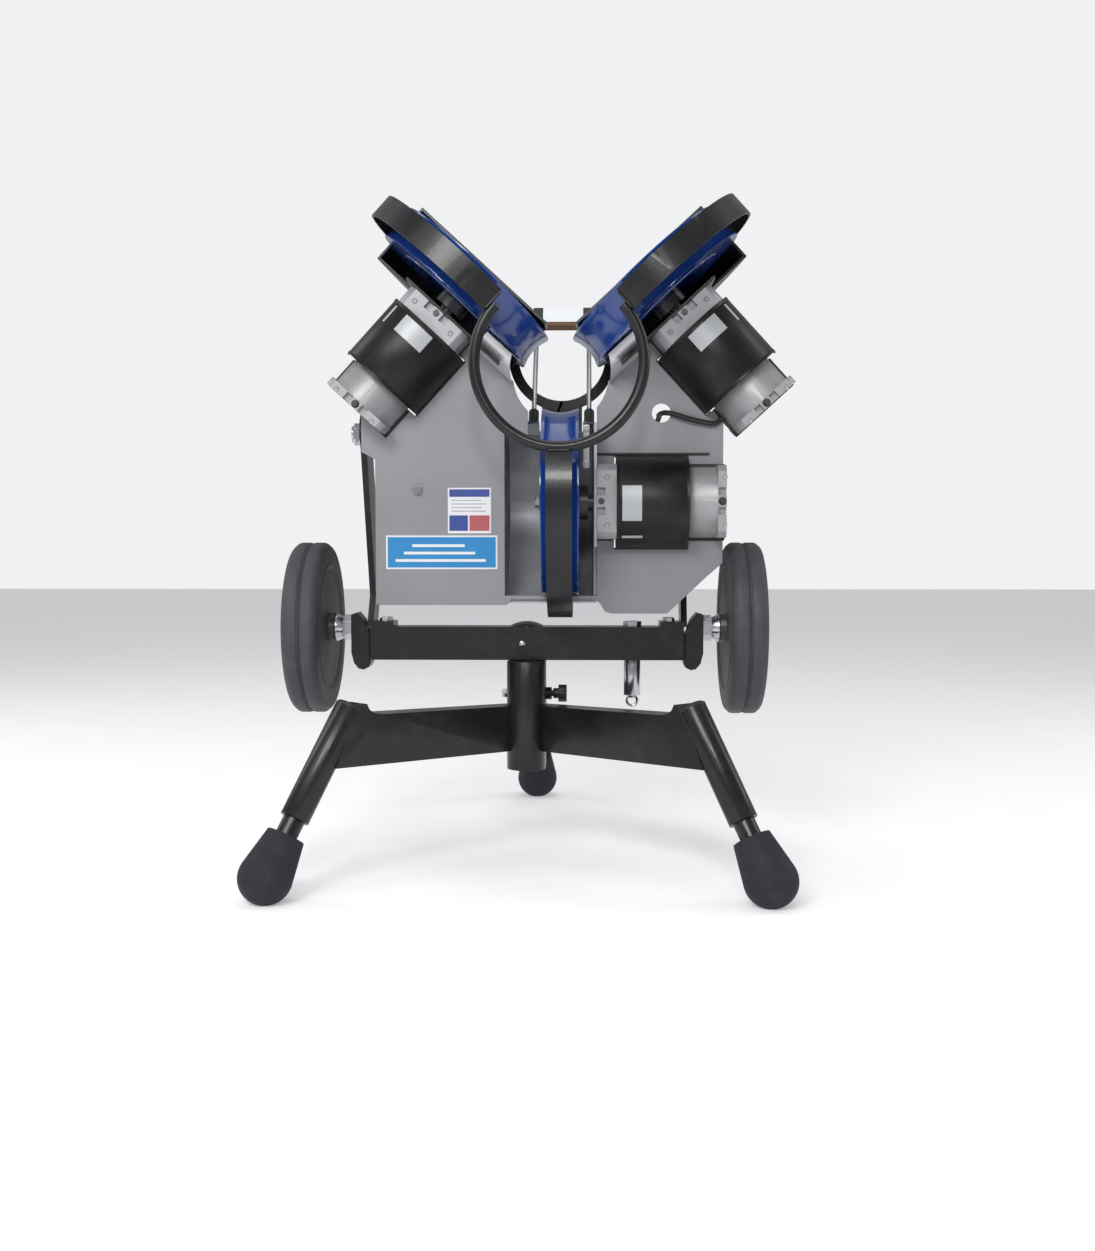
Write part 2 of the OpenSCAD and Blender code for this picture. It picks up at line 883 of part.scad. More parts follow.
module tube(path, r) {
    sides = 10;
    across = sideways(path);
    last = len(path) - 1;
    rings = [
        for (i = [0:last], k = [0:sides - 1])
            let (up = cross(heading(path, i), across[i]), a = 360 * k / sides)
                path[i] + r * (cos(a) * across[i] + sin(a) * up)
    ];
    walls = [
        for (i = [0:last - 1], k = [0:sides - 1])
            let (n = (k + 1) % sides, p = i * sides)
                [p + k, p + sides + k, p + sides + n, p + n]
    ];
    ends = [[for (k = [0:sides - 1]) k], [for (k = [sides - 1:-1:0]) last * sides + k]];
    polyhedron(rings, concat(walls, ends));
}

module motor_leads() in_frame() color([0.06, 0.06, 0.06]) {
    for (route = [LOWER_LEAD, RIGHT_LEAD, LEFT_LEAD])
        tube(curve(route, 3), lead_r);
}

base_post();
stand_arm(0);  // front_left_arm
stand_arm(1);  // front_right_arm
stand_arm(2);  // rear_arm
kingpin_bushes();
leg_tube(0);  // front_left_leg
leg_tube(1);  // front_right_leg
leg_tube(2);  // rear_leg
rubber_foot(0);  // front_left_foot
rubber_foot(1);  // front_right_foot
rubber_foot(2);  // rear_foot
swivel_lock_knob();
yoke_beam();
yoke_arm(-1);  // left_yoke_arm
yoke_arm(1);  // right_yoke_arm
kingpin();
wheel_bracket(-1);  // left_wheel_bracket
wheel_bracket(1);  // right_wheel_bracket
transport_axles();
yoke_bolts();
lock_plunger();
transport_tyre(-1);  // left_tyre
transport_hub(-1);  // left_tyre_hub
transport_tyre(1);  // right_tyre
transport_hub(1);  // right_tyre_hub
front_plate();
wheel_cover(LOWER, lower_cover_back, 5, [0.5, 0.5, 0.52]);  // lower_wheel_cover
wheel_cover(LEFT, -28, 30, [0.12, 0.12, 0.13]);  // left_wheel_cover
wheel_cover(RIGHT, -28, 30, [0.12, 0.12, 0.13]);  // right_wheel_cover
motor_can(LOWER);  // lower_motor_can
motor_can(LEFT);  // left_motor_can
motor_can(RIGHT);  // right_motor_can
motor_bells(LOWER);  // lower_motor_bells
motor_bells(LEFT);  // left_motor_bells
motor_bells(RIGHT);  // right_motor_bells
wheel_guard(LOWER, 20);  // lower_guard
wheel_guard(LEFT, 28);  // left_guard
wheel_guard(RIGHT, 28);  // right_guard
guard_hoop();
feed_rails();
rail_boots();
feed_throat();
trunnion_brackets();
trunnion_bolts();
control_box();
control_lid();
power_inlet();
motor_leads();
plate_bolt();
throwing_tyre(LOWER);  // lower_wheel
throwing_tyre(LEFT);  // left_wheel
throwing_tyre(RIGHT);  // right_wheel
throwing_hub(LOWER);  // lower_wheel_hub
throwing_hub(LEFT);  // left_wheel_hub
throwing_hub(RIGHT);  // right_wheel_hub
speed_dial(0);  // lower_speed_dial
speed_dial(1);  // left_speed_dial
speed_dial(2);  // right_speed_dial
power_switch();
tilt_lock_knob();
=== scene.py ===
"""Looks of a three-wheel baseball pitching machine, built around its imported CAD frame."""
import json
from math import cos, pi, radians, sin

import bmesh
import bpy
from mathutils import Matrix, Vector


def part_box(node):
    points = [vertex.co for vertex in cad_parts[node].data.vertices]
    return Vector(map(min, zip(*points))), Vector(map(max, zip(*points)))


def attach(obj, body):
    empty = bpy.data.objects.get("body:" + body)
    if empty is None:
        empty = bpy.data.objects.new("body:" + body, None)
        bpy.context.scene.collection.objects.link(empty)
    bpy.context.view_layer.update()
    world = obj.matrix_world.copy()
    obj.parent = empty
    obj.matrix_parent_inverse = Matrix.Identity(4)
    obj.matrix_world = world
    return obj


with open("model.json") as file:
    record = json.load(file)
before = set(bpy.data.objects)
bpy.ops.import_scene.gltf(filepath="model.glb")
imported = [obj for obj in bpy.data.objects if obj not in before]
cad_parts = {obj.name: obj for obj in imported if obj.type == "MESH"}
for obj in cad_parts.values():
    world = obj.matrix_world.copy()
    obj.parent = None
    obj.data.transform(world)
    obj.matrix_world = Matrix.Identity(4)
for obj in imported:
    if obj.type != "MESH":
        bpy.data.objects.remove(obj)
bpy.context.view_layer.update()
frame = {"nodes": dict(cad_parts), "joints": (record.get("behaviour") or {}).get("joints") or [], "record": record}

MM = 0.001
SHARP_ANGLE = 35
JOINT = {joint["name"]: joint for joint in frame["joints"]}
SPINS = {side: JOINT[side + "_wheel_spin"] for side in ("lower", "left", "right")}


# ---------------------------------------------------------------- materials

def new_material(name):
    """An empty node material with a principled shader; returns material, nodes, links, shader."""
    mat = bpy.data.materials.new(name)
    mat.use_nodes = True
    nodes, links = mat.node_tree.nodes, mat.node_tree.links
    return mat, nodes, links, nodes["Principled BSDF"]


def noise(nodes, links, coords, scale, detail=4.0, rough=0.55):
    tex = nodes.new("ShaderNodeTexNoise")
    tex.inputs["Scale"].default_value = scale
    tex.inputs["Detail"].default_value = detail
    tex.inputs["Roughness"].default_value = rough
    links.new(coords, tex.inputs["Vector"])
    return tex.outputs["Fac"]


def remap(nodes, links, value, low, high, out_low, out_high):
    node = nodes.new("ShaderNodeMapRange")
    node.inputs["From Min"].default_value = low
    node.inputs["From Max"].default_value = high
    node.inputs["To Min"].default_value = out_low
    node.inputs["To Max"].default_value = out_high
    links.new(value, node.inputs["Value"])
    return node.outputs["Result"]


def mix_colour(nodes, links, factor, a, b):
    node = nodes.new("ShaderNodeMix")
    node.data_type = "RGBA"
    for value, socket in ((a, node.inputs[6]), (b, node.inputs[7])):
        if isinstance(value, tuple):
            socket.default_value = (*value, 1.0)
        else:
            links.new(value, socket)
    links.new(factor, node.inputs[0])
    return node.outputs[2]


def add_bump(nodes, links, shader, heights):
    """Chains bump nodes; heights is a list of (value, strength, distance in metres)."""
    normal = None
    for value, strength, distance in heights:
        bump = nodes.new("ShaderNodeBump")
        bump.inputs["Strength"].default_value = strength
        bump.inputs["Distance"].default_value = distance
        links.new(value, bump.inputs["Height"])
        if normal is not None:
            links.new(normal, bump.inputs["Normal"])
        normal = bump.outputs["Normal"]
    links.new(normal, shader.inputs["Normal"])


def edge_wear(nodes, links, coords, radius):
    """1 where a worn edge shows through, broken up by noise."""
    bevel = nodes.new("ShaderNodeBevel")
    bevel.inputs["Radius"].default_value = radius
    geometry = nodes.new("ShaderNodeNewGeometry")
    dot = nodes.new("ShaderNodeVectorMath")
    dot.operation = "DOT_PRODUCT"
    links.new(bevel.outputs["Normal"], dot.inputs[0])
    links.new(geometry.outputs["Normal"], dot.inputs[1])
    edge = remap(nodes, links, dot.outputs["Value"], 0.97, 0.8, 0.0, 1.0)
    patches = remap(nodes, links, noise(nodes, links, coords, 130, 6, 0.7), 0.52, 0.66, 0.0, 1.0)
    both = nodes.new("ShaderNodeMath")
    both.operation = "MULTIPLY"
    links.new(edge, both.inputs[0])
    links.new(patches, both.inputs[1])
    return both.outputs[0]


def surface(name, colour, rough, metallic=0.0, coat=0.0, grain=(900, 0.1, 0.0002), vary=0.12,
            wear=None, dust=None, specular=0.5, brushed=None):
    """One procedural surface. grain is (scale, strength, height); wear is (radius, colour)."""
    mat, nodes, links, shader = new_material(name)
    coords = nodes.new("ShaderNodeTexCoord").outputs["Object"]
    cloudy = noise(nodes, links, coords, 14, 5)
    fine = noise(nodes, links, coords, grain[0], 3)
    darker = tuple(c * (1 - vary) for c in colour)
    lighter = tuple(min(1.0, c * (1 + vary)) for c in colour)
    base = mix_colour(nodes, links, remap(nodes, links, cloudy, 0.3, 0.7, 0, 1), darker, lighter)
    if dust is not None:
        settled = remap(nodes, links, noise(nodes, links, coords, 46, 8, 0.72), 0.5, 0.8, 0, dust[0])
        base = mix_colour(nodes, links, settled, base, dust[1])
    if wear is not None:
        base = mix_colour(nodes, links, edge_wear(nodes, links, coords, wear[0]), base, wear[1])
    links.new(base, shader.inputs["Base Color"])
    uneven = remap(nodes, links, cloudy, 0.3, 0.7, rough * 0.82, min(1, rough * 1.18))
    links.new(uneven, shader.inputs["Roughness"])
    shader.inputs["Metallic"].default_value = metallic
    shader.inputs["Coat Weight"].default_value = coat
    shader.inputs["Coat Roughness"].default_value = 0.08
    shader.inputs["Specular IOR Level"].default_value = specular
    heights = [(fine, grain[1], grain[2])]
    if brushed is not None:
        stretch = nodes.new("ShaderNodeMapping")
        stretch.inputs["Scale"].default_value = brushed
        links.new(coords, stretch.inputs["Vector"])
        heights.append((noise(nodes, links, stretch.outputs["Vector"], 1.0, 2), 0.25, 0.0001))
    add_bump(nodes, links, shader, heights)
    return mat


STEEL_SHOW = (0.33, 0.33, 0.34)
DUST = (0.3, 0.28, 0.25)
MATERIALS = {
    "black_paint": surface("black_paint", (0.008, 0.0082, 0.009), 0.3, coat=0.1, specular=0.35,
                           grain=(420, 0.25, 0.0003), wear=(0.001, (0.05, 0.05, 0.053)), dust=(0.05, DUST)),
    "leg_steel": surface("leg_steel", (0.012, 0.012, 0.014), 0.26, metallic=0.2, grain=(700, 0.15, 0.0002),
                         wear=(0.001, STEEL_SHOW), brushed=(900, 900, 30)),
    "grey_paint": surface("grey_paint", (0.235, 0.237, 0.25), 0.42, grain=(620, 0.22, 0.00025), vary=0.05,
                          wear=(0.0007, (0.3, 0.3, 0.315)), dust=(0.1, (0.2, 0.19, 0.18))),
    # Lighter grey than the plate's paint, for the lower wheel cover: painted light in its deep recess.
    "painted_light_drum_grey": surface("painted_light_drum_grey", (0.36, 0.365, 0.38), 0.36, grain=(620, 0.15, 0.0002), vary=0.06,
                         metallic=0.2, dust=(0.1, (0.2, 0.19, 0.18))),
    "motor_black": surface("motor_black", (0.006, 0.006, 0.007), 0.4, specular=0.3, grain=(800, 0.2, 0.0002),
                           wear=(0.0012, (0.06, 0.06, 0.06)), dust=(0.06, DUST)),
    "motor_grey": surface("motor_grey", (0.33, 0.33, 0.34), 0.46, metallic=0.35, grain=(520, 0.3, 0.0003),
                          vary=0.08, dust=(0.16, (0.12, 0.11, 0.1))),
    "blue_urethane": surface("blue_urethane", (0.005, 0.034, 0.19), 0.2, coat=0.6, vary=0.1,
                             grain=(260, 0.08, 0.0003)),
    "hub_steel": surface("hub_steel", (0.07, 0.07, 0.075), 0.4, metallic=0.8, vary=0.05,
                         grain=(900, 0.12, 0.0001), brushed=(60, 900, 60)),
    "zinc": surface("zinc", (0.5, 0.51, 0.53), 0.22, metallic=1.0, vary=0.08, grain=(1500, 0.08, 0.0001),
                    dust=(0.15, (0.25, 0.23, 0.2))),
    "tyre_rubber": surface("tyre_rubber", (0.043, 0.045, 0.05), 0.62, grain=(1100, 0.4, 0.0003), vary=0.16,
                           dust=(0.35, (0.12, 0.12, 0.125))),
    "hub_plastic": surface("hub_plastic", (0.03, 0.03, 0.033), 0.4, grain=(1300, 0.25, 0.0002),
                           dust=(0.15, DUST)),
    "foot_rubber": surface("foot_rubber", (0.017, 0.019, 0.025), 0.75, specular=0.35, vary=0.2,
                           grain=(900, 0.5, 0.0004), dust=(0.25, (0.09, 0.09, 0.1))),
    "boot_rubber": surface("boot_rubber", (0.012, 0.012, 0.012), 0.55, grain=(900, 0.3, 0.0002)),
    "knob_plastic": surface("knob_plastic", (0.011, 0.011, 0.011), 0.45, grain=(1500, 0.35, 0.0002)),
    "box_paint": surface("box_paint", (0.017, 0.017, 0.018), 0.45, grain=(380, 0.4, 0.0004),
                         wear=(0.0008, (0.12, 0.12, 0.12)), dust=(0.1, DUST)),
    "bronze": surface("bronze", (0.5, 0.33, 0.15), 0.35, metallic=1.0),
    "switch_red": surface("switch_red", (0.34, 0.016, 0.012), 0.25, coat=0.3),
    "label_silver": surface("label_silver", (0.4, 0.41, 0.42), 0.4, metallic=0.2, vary=0.05),
    "label_blue": surface("label_blue", (0.02, 0.22, 0.5), 0.3, coat=0.4, vary=0.04),
    # Light grey for the slot lips, lighter than the plate's paint: partly a painted highlight.
    "painted_highlight_grey": surface("painted_highlight_grey", (0.62, 0.62, 0.64), 0.3, metallic=0.4, vary=0.04),
    "felt_brown": surface("felt_brown", (0.16, 0.085, 0.05), 0.85, grain=(1800, 0.6, 0.0004), vary=0.25),
    "label_white": surface("label_white", (0.72, 0.73, 0.75), 0.35, coat=0.3, vary=0.02),
    "label_red": surface("label_red", (0.42, 0.09, 0.1), 0.35, coat=0.3, vary=0.05),
    "label_navy": surface("label_navy", (0.03, 0.06, 0.26), 0.35, coat=0.3, vary=0.05),
}


def paint(obj, slot, look=None):
    """Gives a piece its material: the look if one is given, else the one named by its slot."""
    obj.data.materials.clear()
    obj.data.materials.append(MATERIALS[look or slot])
    return obj


# ---------------------------------------------------------------- mesh tools

def finish_mesh(name, bm, body, slot, look=None, bevel=0.0, matrix=None):
    """Turns a bmesh into a piece that rides on a body."""
    if matrix is not None:
        bm.transform(matrix)
    bmesh.ops.recalc_face_normals(bm, faces=bm.faces)
    mesh = bpy.data.meshes.new(name)
    bm.to_mesh(mesh)
    bm.free()
    obj = bpy.data.objects.new(name, mesh)
    bpy.context.scene.collection.objects.link(obj)
    mesh.shade_smooth()
    mesh.set_sharp_from_angle(angle=radians(SHARP_ANGLE))
    if bevel:
        soften(obj, bevel)
    paint(obj, slot, look)
    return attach(obj, body)


def soften(obj, width):
    """Rounds the sharp edges of a piece."""
    bevel = obj.modifiers.new("edge_round", "BEVEL")
    bevel.width = width
    bevel.segments = 2
    bevel.limit_method = "ANGLE"
    bevel.angle_limit = radians(SHARP_ANGLE)
    bevel.harden_normals = True


def block(name, low, high, body, slot, look=None, bevel=0.0006, matrix=None):
    """A block with rounded edges between two corners."""
    bm = bmesh.new()
    bmesh.ops.create_cube(bm, size=1.0)
    low, high = Vector(low), Vector(high)
    size, middle = high - low, (high + low) / 2
    bm.transform(Matrix.Translation(middle) @ Matrix.Diagonal((*size, 1.0)))
    return finish_mesh(name, bm, body, slot, look, bevel=bevel, matrix=matrix)


def mm(*points):
    """Profile points given in millimetres."""
    return [tuple(value * MM for value in point) for point in points]


def lathe(name, profile, body, slot, matrix, look=None, steps=48):
    """Turns a profile of (radius, height) round the local Z axis."""
    bm = bmesh.new()
    turns = [2 * pi * k / steps for k in range(steps)]
    rings = []
    for r, z in profile:
        rings.append([bm.verts.new((r * cos(a), r * sin(a), z)) for a in turns])
    for a, b in zip(rings, rings[1:]):
        for k in range(steps):
            bm.faces.new((a[k], a[(k + 1) % steps], b[(k + 1) % steps], b[k]))
    bm.faces.new(rings[0])
    bm.faces.new(rings[-1])
    bmesh.ops.remove_doubles(bm, verts=bm.verts, dist=1e-5)
    return finish_mesh(name, bm, body, slot, look, matrix=matrix)


def rod(name, points, radius, body, slot, look=None, segments=6):
    """A round rod or bead along a list of points."""
    data = bpy.data.curves.new(name, "CURVE")
    data.dimensions = "3D"
    data.bevel_depth = radius
    data.bevel_resolution = segments
    data.use_fill_caps = True
    spline = data.splines.new("POLY")
    spline.points.add(len(points) - 1)
    for point, co in zip(spline.points, points):
        point.co = (*co, 1.0)
    spline.use_smooth = True
    obj = bpy.data.objects.new(name, data)
    bpy.context.scene.collection.objects.link(obj)
    paint(obj, slot, look)
    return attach(obj, body)


def axes_matrix(origin, x_axis, z_axis):
    """Frame with a given origin, X and Z axis."""
    z = Vector(z_axis).normalized()
    x = Vector(x_axis)
    x = (x - z * x.dot(z)).normalized()
    y = z.cross(x)
    m = Matrix((x, y, z)).transposed().to_4x4()
    m.translation = Vector(origin)
    return m


def wheel_frame(side):
    """X away from the ball, Y to the back, Z towards the motor; mirrored on the right."""
    spin = SPINS[side]
    z = Vector(spin["axis"]).normalized()
    y = Vector((0, 1, 0))
    x = y.cross(z)
    if side == "right":
        x = -x
    m = Matrix((x, y, z)).transposed().to_4x4()
    m.translation = Vector(spin["pos_m"])
    return m


def nut(name, matrix, across, height, body, slot="zinc", look=None):
    """Hexagon nut or bolt head with a chamfered crown and a washer."""
    r = across / 2
    washer = [(r * 1.28, 0), (r * 1.28, height * 0.16), (r * 0.6, height * 0.2)]
    head = [(r, height * 0.18), (r, height * 0.86), (r * 0.86, height), (r * 0.3, height)]
    lathe(name + "_washer", washer, body, slot, matrix, look, steps=32)
    lathe(name, head, body, slot, matrix, look, steps=6)


# ---------------------------------------------------------------- camera, light and floor

POST_X = JOINT["swivel"]["pos_m"][0]
POST_Y = JOINT["swivel"]["pos_m"][1]
CAMERA_OFFSET = Vector((0.0543, -1.3095, 0.2923))
FOCAL = 38.85
PITCH_DOWN = 3.16
YAW_LEFT = 1.51


def make_camera():
    """Camera at the photograph's viewing angle."""
    camera = bpy.data.objects.new("camera", bpy.data.cameras.new("camera"))
    bpy.context.scene.collection.objects.link(camera)
    camera.location = Vector((POST_X, POST_Y, 0)) + CAMERA_OFFSET
    camera.rotation_euler = (radians(90 - PITCH_DOWN), 0, radians(YAW_LEFT))
    camera.data.lens = FOCAL
    camera.data.sensor_width = 36
    camera.data.clip_start = 0.02
    bpy.context.scene.camera = camera


def area_light(name, location, target, size, power):
    data = bpy.data.lights.new(name, "AREA")
    data.shape = "RECTANGLE"
    data.size, data.size_y = size
    data.energy = power
    light = bpy.data.objects.new(name, data)
    bpy.context.scene.collection.objects.link(light)
    light.location = location
    light.rotation_euler = (Vector(target) - Vector(location)).to_track_quat("-Z", "Y").to_euler()


# Name, place, size and power of each light; all face LIGHT_TARGET.
LIGHTS = (
    ("key", (-0.5, -1.6, 1.25), (0.6, 0.6), 15),
    ("flash", (0.05, -1.5, 0.95), (0.2, 0.2), 4.0),
    ("left_fill", (-1.3, -1.4, 1.5), (1.0, 1.0), 5),
    ("right_rim", (1.7, 0.2, 1.2), (0.7, 1.4), 7),
    ("left_rim", (-1.7, 0.4, 1.2), (0.7, 1.4), 7),
    ("top", (0, 0.1, 2.3), (1.4, 1.4), 9),
)
LIGHT_TARGET = (0, 0, 0.38)
STUDIO_WHITE = (0.97, 0.98, 1.0, 1)
ROOM_LIGHT = 0.36
BACKDROP = 0.9
FLOOR_GLOW = 0.28
FLOOR_HALF_SIZE = 9


def make_studio():
    """Soft lights, and a world that looks brighter to the camera than it lights."""
    for name, place, size, power in LIGHTS:
        area_light(name, place, LIGHT_TARGET, size, power)
    world = bpy.data.worlds.new("studio")
    world.use_nodes = True
    nodes, links = world.node_tree.nodes, world.node_tree.links
    background = nodes["Background"]
    background.inputs["Color"].default_value = STUDIO_WHITE
    seen = nodes.new("ShaderNodeLightPath").outputs["Is Camera Ray"]
    links.new(remap(nodes, links, seen, 0, 1, ROOM_LIGHT, BACKDROP), background.inputs["Strength"])
    bpy.context.scene.world = world
    bpy.context.scene.view_settings.view_transform = "Standard"


def make_floor():
    """Plain pale floor, which is not part of the object."""
    bm = bmesh.new()
    bmesh.ops.create_grid(bm, x_segments=1, y_segments=1, size=FLOOR_HALF_SIZE)
    mesh = bpy.data.meshes.new("floor")
    bm.to_mesh(mesh)
    bm.free()
    floor = bpy.data.objects.new("floor", mesh)
    bpy.context.scene.collection.objects.link(floor)
    mat = surface("floor_paper", (0.84, 0.84, 0.85), 0.8, grain=(60, 0.02, 0.0002), vary=0.01, specular=0.2)
    shader = mat.node_tree.nodes["Principled BSDF"]
    shader.inputs["Emission Color"].default_value = STUDIO_WHITE
    shader.inputs["Emission Strength"].default_value = FLOOR_GLOW
    mesh.materials.append(mat)


# ---------------------------------------------------------------- carried-over CAD nodes

# Edge radius in millimetres of each CAD node that is rounded.
ROUND_EDGES = {
    "front_plate": 0.5, "yoke_beam": 1.6, "left_yoke_arm": 0.8, "right_yoke_arm": 0.8,
    "front_left_arm": 1.4, "front_right_arm": 1.4, "rear_arm": 1.4, "base_post": 1.2,
    "lower_motor_bells": 1.2, "left_motor_bells": 1.2, "right_motor_bells": 1.2,
    "lower_motor_can": 1.2, "left_motor_can": 1.2, "right_motor_can": 1.2,
    "lower_wheel_cover": 0.6, "left_wheel_cover": 0.6, "right_wheel_cover": 0.6,
    "left_wheel_bracket": 1.0, "right_wheel_bracket": 1.0, "transport_axles": 0.6,
    "left_tyre": 2.2, "right_tyre": 2.2, "left_tyre_hub": 0.8, "right_tyre_hub": 0.8,
    "control_box": 1.0, "control_lid": 0.5, "power_switch": 1.2, "feed_throat": 0.8,
    "tilt_lock_knob": 1.2, "swivel_lock_knob": 0.8, "trunnion_brackets": 0.6, "trunnion_bolts": 0.6,
    "front_left_foot": 1.5, "front_right_foot": 1.5, "rear_foot": 1.5, "kingpin": 0.5,
    "rail_boots": 0.8, "yoke_bolts": 0.5, "plate_bolt": 0.6, "power_inlet": 0.5,
    "lower_speed_dial": 0.5, "left_speed_dial": 0.5, "right_speed_dial": 0.5, "feed_rails": 0.4,
}


# Nodes that look different from their material slot; the lower wheel cover's lighter grey is painted light in its
# deep recess.
LOOKS = {"lower_wheel_cover": "painted_light_drum_grey"}
WELD_DISTANCE = 1e-5


def dress_cad():
    """Welds split corners, rounds edges and assigns each node its material."""
    slots = {part["node"]: part["material_slot"] for part in frame["record"]["subparts"]}
    for name, obj in frame["nodes"].items():
        obj.data.materials.clear()
        obj.data.materials.append(MATERIALS[LOOKS.get(name, slots[name])])
        weld = obj.modifiers.new("weld", "WELD")
        weld.merge_threshold = WELD_DISTANCE
        if name in ROUND_EDGES:
            soften(obj, ROUND_EDGES[name] * MM)


# ---------------------------------------------------------------- head details

BELL_START, BELL_END = 34 * MM, 52 * MM
CAN_END = 119 * MM
CAN_R = 42.5 * MM
WHEEL_REACH = 119
MOUTH_R = 46.5


def curved_patch(name, matrix, radius, turn, half_width, z_low, z_high, slot, look):
    """Sticker wrapped on the can, centred at an angle from the front."""
    bm = bmesh.new()
    steps = 10
    rows = []
    for r in (radius, radius + 0.00025):
        for z in (z_low, z_high):
            row = []
            for k in range(steps + 1):
                a = -pi / 2 + turn + (k / steps - 0.5) * 2 * half_width / radius
                row.append(bm.verts.new((r * cos(a), r * sin(a), z)))
            rows.append(row)
    inner_low, inner_high, outer_low, outer_high = rows
    for k in range(steps):
        for a, b in ((outer_low, outer_high), (inner_high, inner_low),
                     (inner_low, outer_low), (outer_high, inner_high)):
            bm.faces.new((a[k], a[k + 1], b[k + 1], b[k]))
    for k in (0, steps):
        bm.faces.new((inner_low[k], inner_high[k], outer_high[k], outer_low[k]))
    return finish_mesh(name, bm, "head", slot, look, matrix=matrix)


def motor_details(side):
    m = wheel_frame(side)
    for label, z in (("front", BELL_END), ("rear", CAN_END)):
        inward = 1 if label == "front" else -1
        lathe(f"{side}_can_{label}_rim",
              [(CAN_R - 0.004, z), (CAN_R + 0.0005, z), (CAN_R + 0.0005, z + inward * 0.0022),
               (CAN_R, z + inward * 0.003), (CAN_R - 0.004, z + inward * 0.003)],
              "head", "motor_black", m, steps=96)
    curved_patch(f"{side}_rating_label", m, CAN_R + 0.0001, radians(3), 16.5 * MM, 57 * MM, 75 * MM,
                 "motor_grey", "label_silver")
    curved_patch(f"{side}_date_label", m, CAN_R + 0.0001, radians(50), 1.6 * MM, 57 * MM, 76 * MM,
                 "motor_grey", "label_silver")
    for x in (-22, 22):
        for z, top in ((BELL_START + 9 * MM, -34.5), (151 * MM, -33.5)):
            across = axes_matrix((x * MM, top * MM, z), (0, 0, 1), (0, -1, 0))
            lathe(f"{side}_bell_plug_{x}_{round(z / MM)}",
                  mm((2.6, -0.5), (2.6, 0.3), (1.9, 0.7), (1.2, 0.3)),
                  "head", "motor_grey", m @ across, steps=24)
    for z in (BELL_START + 4 * MM, 149 * MM):
        stud = axes_matrix((0, -33 * MM, z), (0, 0, 1), (0, -1, 0))
        nut(f"{side}_stud_{round(z / MM)}", m @ stud, 6 * MM, 3.2 * MM, "head", "zinc", "hub_steel")


# The strips below are painted shade filling the gap round each motor window.
# Part of the motor, then the strip's two sides and two ends in millimetres, in the wheel's frame.
GAP_SHADE_STEPS = (("bell", 34.5, 36, 34, 50.5), ("can", 42.5, 44, 50.5, 120.5), ("rear", 33, 36, 120.5, 154.5))


def gap_shade_strips(side):
    """Dark strips in the gap between a motor and its window in the plate: painted shade, made as black rubber."""
    m = wheel_frame(side)
    strips = [("end", -36, 36, 153, 154.5)]
    for edge, sign in (("ball", -1), ("outer", 1)):
        for part, near, far, z_low, z_high in GAP_SHADE_STEPS:
            x_low, x_high = sorted((sign * near, sign * far))
            strips.append((f"{edge}_{part}", x_low, x_high, z_low, z_high))
    for name, x_low, x_high, z_low, z_high in strips:
        low = Vector((x_low, 2.1, z_low)) * MM
        high = Vector((x_high, 5.6, z_high)) * MM
        block(f"{side}_gasket_{name}", low, high, "head", "boot_rubber", bevel=0.0003, matrix=m)


def wheel_details(side):
    """Bolts of the hub face and the moulding line of the urethane."""
    m = wheel_frame(side)
    body = side + "_spinner"
    for k in range(5):
        a = 2 * pi * (k + 0.5) / 5
        spot = Matrix.Translation((24 * MM * cos(a), 24 * MM * sin(a), -5 * MM)) @ Matrix.Rotation(pi, 4, "X")
        nut(f"{side}_hub_bolt_{k}", m @ spot, 8 * MM, 4 * MM, body, "zinc")
    end = Matrix.Translation((0, 0, -17 * MM)) @ Matrix.Rotation(pi, 4, "X")
    nut(f"{side}_axle_nut", m @ end, 11 * MM, 7 * MM, body, "zinc")
    for z, facing in ((-17, -1), (17, 1)):
        lathe(f"{side}_side_ring_{'front' if facing < 0 else 'motor'}",
              mm((60, z), (60.6, z + 0.7 * facing), (62.4, z + 0.7 * facing), (63, z)),
              body, "blue_urethane", m, steps=96)


def slot_lip(side):
    """Glossy lip that rolls forward from the plate to the side of the wheel, beside the mouth; its light grey,
    lighter than the plate's paint, is partly a painted highlight.
    """
    m = wheel_frame(side)
    bm = bmesh.new()
    steps, along = 10, 12
    rows = []
    for inset in (0, 1.2):
        for k in range(steps + 1):
            a = k / steps * pi / 2
            z = 18.8 + (17.2 - inset) * cos(a)
            y = 1.8 - (37 - inset) * sin(a)
            start = (MOUTH_R ** 2 - min(z, 40) ** 2) ** 0.5 - WHEEL_REACH
            row = [(start + (-46 - start) * n / along, y, z) for n in range(along + 1)]
            rows.append([bm.verts.new(Vector(p) * MM) for p in row])
    outer, inner = rows[:steps + 1], rows[steps + 1:]
    for grid in (outer, inner):
        for a, b in zip(grid, grid[1:]):
            for n in range(along):
                bm.faces.new((a[n], a[n + 1], b[n + 1], b[n]))
    for a, b in ((outer[0], inner[0]), (outer[-1], inner[-1])):
        for n in range(along):
            bm.faces.new((a[n], a[n + 1], b[n + 1], b[n]))
    for n in (0, along):
        for k in range(steps):
            bm.faces.new((outer[k][n], outer[k + 1][n], inner[k + 1][n], inner[k][n]))
    finish_mesh(f"{side}_slot_lip", bm, "head", "grey_paint", "painted_highlight_grey", matrix=m)


def guard_details():
    """Weld beads between the hoop and the straps."""
    for side in SPINS:
        m = wheel_frame(side)
        for r in (105.4, 109.2):
            a = radians(-112.5)
            points = [m @ Vector((r * MM * cos(a), r * MM * sin(a), z * MM)) for z in (-9, -5, 0, 5, 9)]
            rod(f"{side}_guard_weld_{round(r)}", points, 1.3 * MM, "head", "black_paint")


def plate_front_y():
    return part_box("front_plate")[0].y


